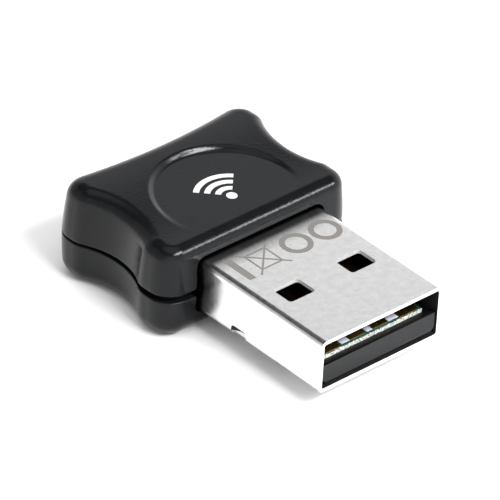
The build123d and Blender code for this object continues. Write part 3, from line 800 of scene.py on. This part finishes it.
# Screen and pad printed inks: matt, slightly uneven where the ink was laid down
LEGEND_INK = mottled("board_legend_ink", NON_METAL, 0.15, ("#b9b3c6", "#d6d1e0"), (0.55, 0.67), 0.003)
EMBLEM_INK = mottled("pad_print_ink", NON_METAL, 0.2, ("#b4b6b5", "#bec0bf"), (0.5, 0.62), 0.001)
# Moulded and fired bodies of the components: fine grain, from matt epoxy to glossy glaze
EPOXY = mottled("moulding_epoxy", NON_METAL, 0.15, ("#1d1d1e", "#2a2a2b"), (0.6, 0.72), 0.003)
CAPACITOR_BODY = mottled("barium_titanate_ceramic", NON_METAL, 0.15, ("#7b5a3c", "#94704e"),
                         (0.45, 0.57), 0.003)
RESISTOR_BODY = mottled("resistor_glaze", NON_METAL, 0.15, ("#121316", "#22242a"), (0.3, 0.42), 0.003)
CRYSTAL_BODY = mottled("alumina_package", NON_METAL, 0.15, ("#4b4641", "#5d5751"), (0.55, 0.67), 0.003)


def finish_with(piece, *materials):
    """Gives a piece or CAD node these materials and no others."""
    piece.data.materials.clear()
    for material in materials:
        piece.data.materials.append(material)


def tin_the_ends(node, body):
    """Gives a capacitor or resistor its body material, and tin on the faces of its end terminals."""
    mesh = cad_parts[node].data
    finish_with(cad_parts[node], body, TIN)
    points = np.empty(len(mesh.vertices) * 3)
    mesh.vertices.foreach_get("co", points)
    points = points.reshape(-1, 3)
    corners = np.empty(len(mesh.polygons) * 3, np.int32)
    mesh.polygons.foreach_get("vertices", corners)
    across = points[corners.reshape(-1, 3), 0].mean(1)
    middle = (points[:, 0].min() + points[:, 0].max()) / 2
    half = (points[:, 0].max() - points[:, 0].min()) / 2
    mesh.polygons.foreach_set("material_index", (np.abs(across - middle) > half * 0.5).astype(np.int32))
    mesh.update()


def finish_inside_and_edges(piece):
    """Gives the second material, the painted shade, to the inner surface of the shell's walls, and the third
    to its cuts.

    A face belongs to the inner surface if its middle is nearer the axis than the walls are, and to a
    cut if it isn't and it faces along Y, or stands upright within the span of the flat top or underside.
    """
    mesh = piece.data
    centre, normal = np.empty(len(mesh.polygons) * 3), np.empty(len(mesh.polygons) * 3)
    mesh.polygons.foreach_get("center", centre)
    mesh.polygons.foreach_get("normal", normal)
    centre = np.abs(centre.reshape(-1, 3) / MM - [0, 0, PLUG_AXIS_Z])
    normal = np.abs(normal.reshape(-1, 3))
    limit = np.array([SHELL_WIDTH, SHELL_HEIGHT]) / 2 - SHELL_WALL + 0.02
    inner = (centre[:, 0] < limit[0]) & (centre[:, 2] < limit[1])
    window = (centre[:, 0] < SHELL_WIDTH / 2 - SHELL_CORNER) & (normal[:, 2] < 0.3)
    cut = ~inner & (window | (normal[:, 1] > 0.95))
    mesh.polygons.foreach_set("material_index", np.where(inner, 1, np.where(cut, 2, 0)).astype(np.int32))
    mesh.update()


for piece in (top_piece, bottom_piece):
    finish_with(piece, BLACK_ABS)
# The tongues and the shell's inner surface take the painted shade
finish_with(tongue_piece, SHADED_INSIDE)
finish_with(shell_piece, NICKEL, SHADED_INSIDE, CUT_EDGE)
finish_inside_and_edges(shell_piece)
for piece in mark_pieces:
    finish_with(piece, LASER_MARK)
finish_with(carrier_piece, NYLON)
finishes = {
    "circuit_board": BOARD, "emblem_print": EMBLEM_INK, "contact_silkscreen": LEGEND_INK,
    "power_contact": GOLD, "data_minus_contact": GOLD, "data_plus_contact": GOLD, "ground_contact": GOLD,
    "shell_solder_joints": TIN, "radio_chip": EPOXY, "radio_chip_pads": TIN, "crystal_base": CRYSTAL_BODY,
    "crystal_lid": LID_METAL, "inductor_terminals": TIN, "power_inductor": EPOXY,
    "voltage_regulator": EPOXY, "regulator_leads": TIN, "memory_chip": EPOXY, "memory_chip_pads": TIN,
    "antenna_trace": COPPER,
}
for node, material in finishes.items():
    finish_with(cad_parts[node], material)
for number in range(1, 7):
    tin_the_ends(f"capacitor_{number}", CAPACITOR_BODY)
for number in range(1, 5):
    tin_the_ends(f"resistor_{number}", RESISTOR_BODY)


# ---- Floor, light and camera --------------------------------------------------------------------

FLOOR_REACH = 2.5                                       # metres, each way from the object
# Height of a direction, as the sine of its elevation, and the brightness of the surroundings there
SKY_LEVELS = ((0.0, 1.0), (0.2, 0.9), (0.42, 0.6), (0.59, 0.6),
              (0.67, 0.02), (0.84, 0.02), (0.92, 0.5), (1.0, 0.5))
REAR_LEFT = (-0.69, 0.72, 0)
SKY_STRENGTH = 1.7
REAR_LEFT_STRENGTH = 0.85
CAMERA_TURN = (-43.96, 34.47, 3.64)                     # azimuth, elevation and roll in degrees
CAMERA_PLACE = (-254.962, -263.143, 256.315)
LENS, SENSOR = 432, 36

def build_floor():
    """A plain pale floor under the object, a square about the origin."""
    mesh = bpy.data.meshes.new("floor")
    corners = [(-FLOOR_REACH, -FLOOR_REACH, 0), (FLOOR_REACH, -FLOOR_REACH, 0),
               (FLOOR_REACH, FLOOR_REACH, 0), (-FLOOR_REACH, FLOOR_REACH, 0)]
    mesh.from_pydata(corners, [], [(0, 1, 2, 3)])
    floor = bpy.data.objects.new("floor", mesh)
    bpy.context.scene.collection.objects.link(floor)
    paint = new_material("pale_floor", {"Base Color": srgb("#dedede"), "Roughness": 0.9})[0]
    finish_with(floor, paint)


def studio_light(name, place, target, size, power, in_reflections=True):
    """A soft rectangular light that faces a point."""
    data = bpy.data.lights.new(name, "AREA")
    data.shape = "RECTANGLE"
    data.size, data.size_y = size
    data.energy = power
    light = bpy.data.objects.new(name, data)
    light.location = place
    light.rotation_euler = (Vector(target) - Vector(place)).to_track_quat("-Z", "Y").to_euler()
    light.visible_glossy = in_reflections
    bpy.context.scene.collection.objects.link(light)


def build_sky():
    """Surroundings for reflections: a grey ramp over height, half as bright towards the rear left.

    It is bright from the horizon to middle height, nearly black in a band above that, and grey overhead.
    The strength falls with the dot product of the direction and the one to the rear left.
    """
    world = bpy.data.worlds.new("studio")
    bpy.context.scene.world = world
    world.use_nodes = True
    tree = world.node_tree
    direction = add(tree, "TexCoord", {}, {}).outputs["Generated"]
    height = add(tree, "SeparateXYZ", {}, {"Vector": direction})
    ramp = add(tree, "ValToRGB", {}, {"Fac": height.outputs["Z"]})
    for position, _ in SKY_LEVELS[1:-1]:
        ramp.color_ramp.elements.new(position)
    for element, (position, level) in zip(ramp.color_ramp.elements, SKY_LEVELS):
        element.position = position
        element.color = (level, level, level, 1)
    towards = add(tree, "VectorMath", {"operation": "DOT_PRODUCT", 1: REAR_LEFT}, {0: direction})
    strength = add(tree, "MapRange", {"From Min": 0.25, "From Max": 0.6, "To Min": SKY_STRENGTH,
                                      "To Max": REAR_LEFT_STRENGTH}, {"Value": towards.outputs["Value"]})
    connect(tree, tree.nodes["Background"], {"Color": ramp.outputs["Color"],
                                             "Strength": strength.outputs["Result"]})


def build_camera():
    """A long lens from the front left, a little above, rolled slightly."""
    azimuth, elevation, roll = (math.radians(angle) for angle in CAMERA_TURN)
    back = Vector((math.sin(azimuth) * math.cos(elevation), -math.cos(azimuth) * math.cos(elevation),
                   math.sin(elevation)))
    level = Vector((math.cos(azimuth), math.sin(azimuth), 0))
    upright = back.cross(level)
    right = math.cos(roll) * level + math.sin(roll) * upright
    up = -math.sin(roll) * level + math.cos(roll) * upright
    turn = Matrix((right, up, back)).transposed().to_4x4()
    data = bpy.data.cameras.new("camera")
    data.lens = LENS
    data.sensor_width = SENSOR
    data.clip_start = 0.01
    data.clip_end = 10
    camera = bpy.data.objects.new("camera", data)
    camera.matrix_world = Matrix.Translation(Vector(CAMERA_PLACE) * MM) @ turn
    bpy.context.scene.collection.objects.link(camera)
    bpy.context.scene.camera = camera


build_floor()
build_sky()
studio_light("overhead_fill", (-0.1, -0.1, 0.8), (0, 0, 0), (1.2, 1.2), 8, in_reflections=False)
studio_light("front_right_panel", (0.37, -0.40, 0.35), (0, 0, 0), (0.22, 0.09), 1.5)
studio_light("front_strip", (0.073, -0.416, 0.506), (0, 0, 0), (0.45, 0.1), 6.5)
build_camera()
bpy.context.scene.view_settings.view_transform = "Standard"
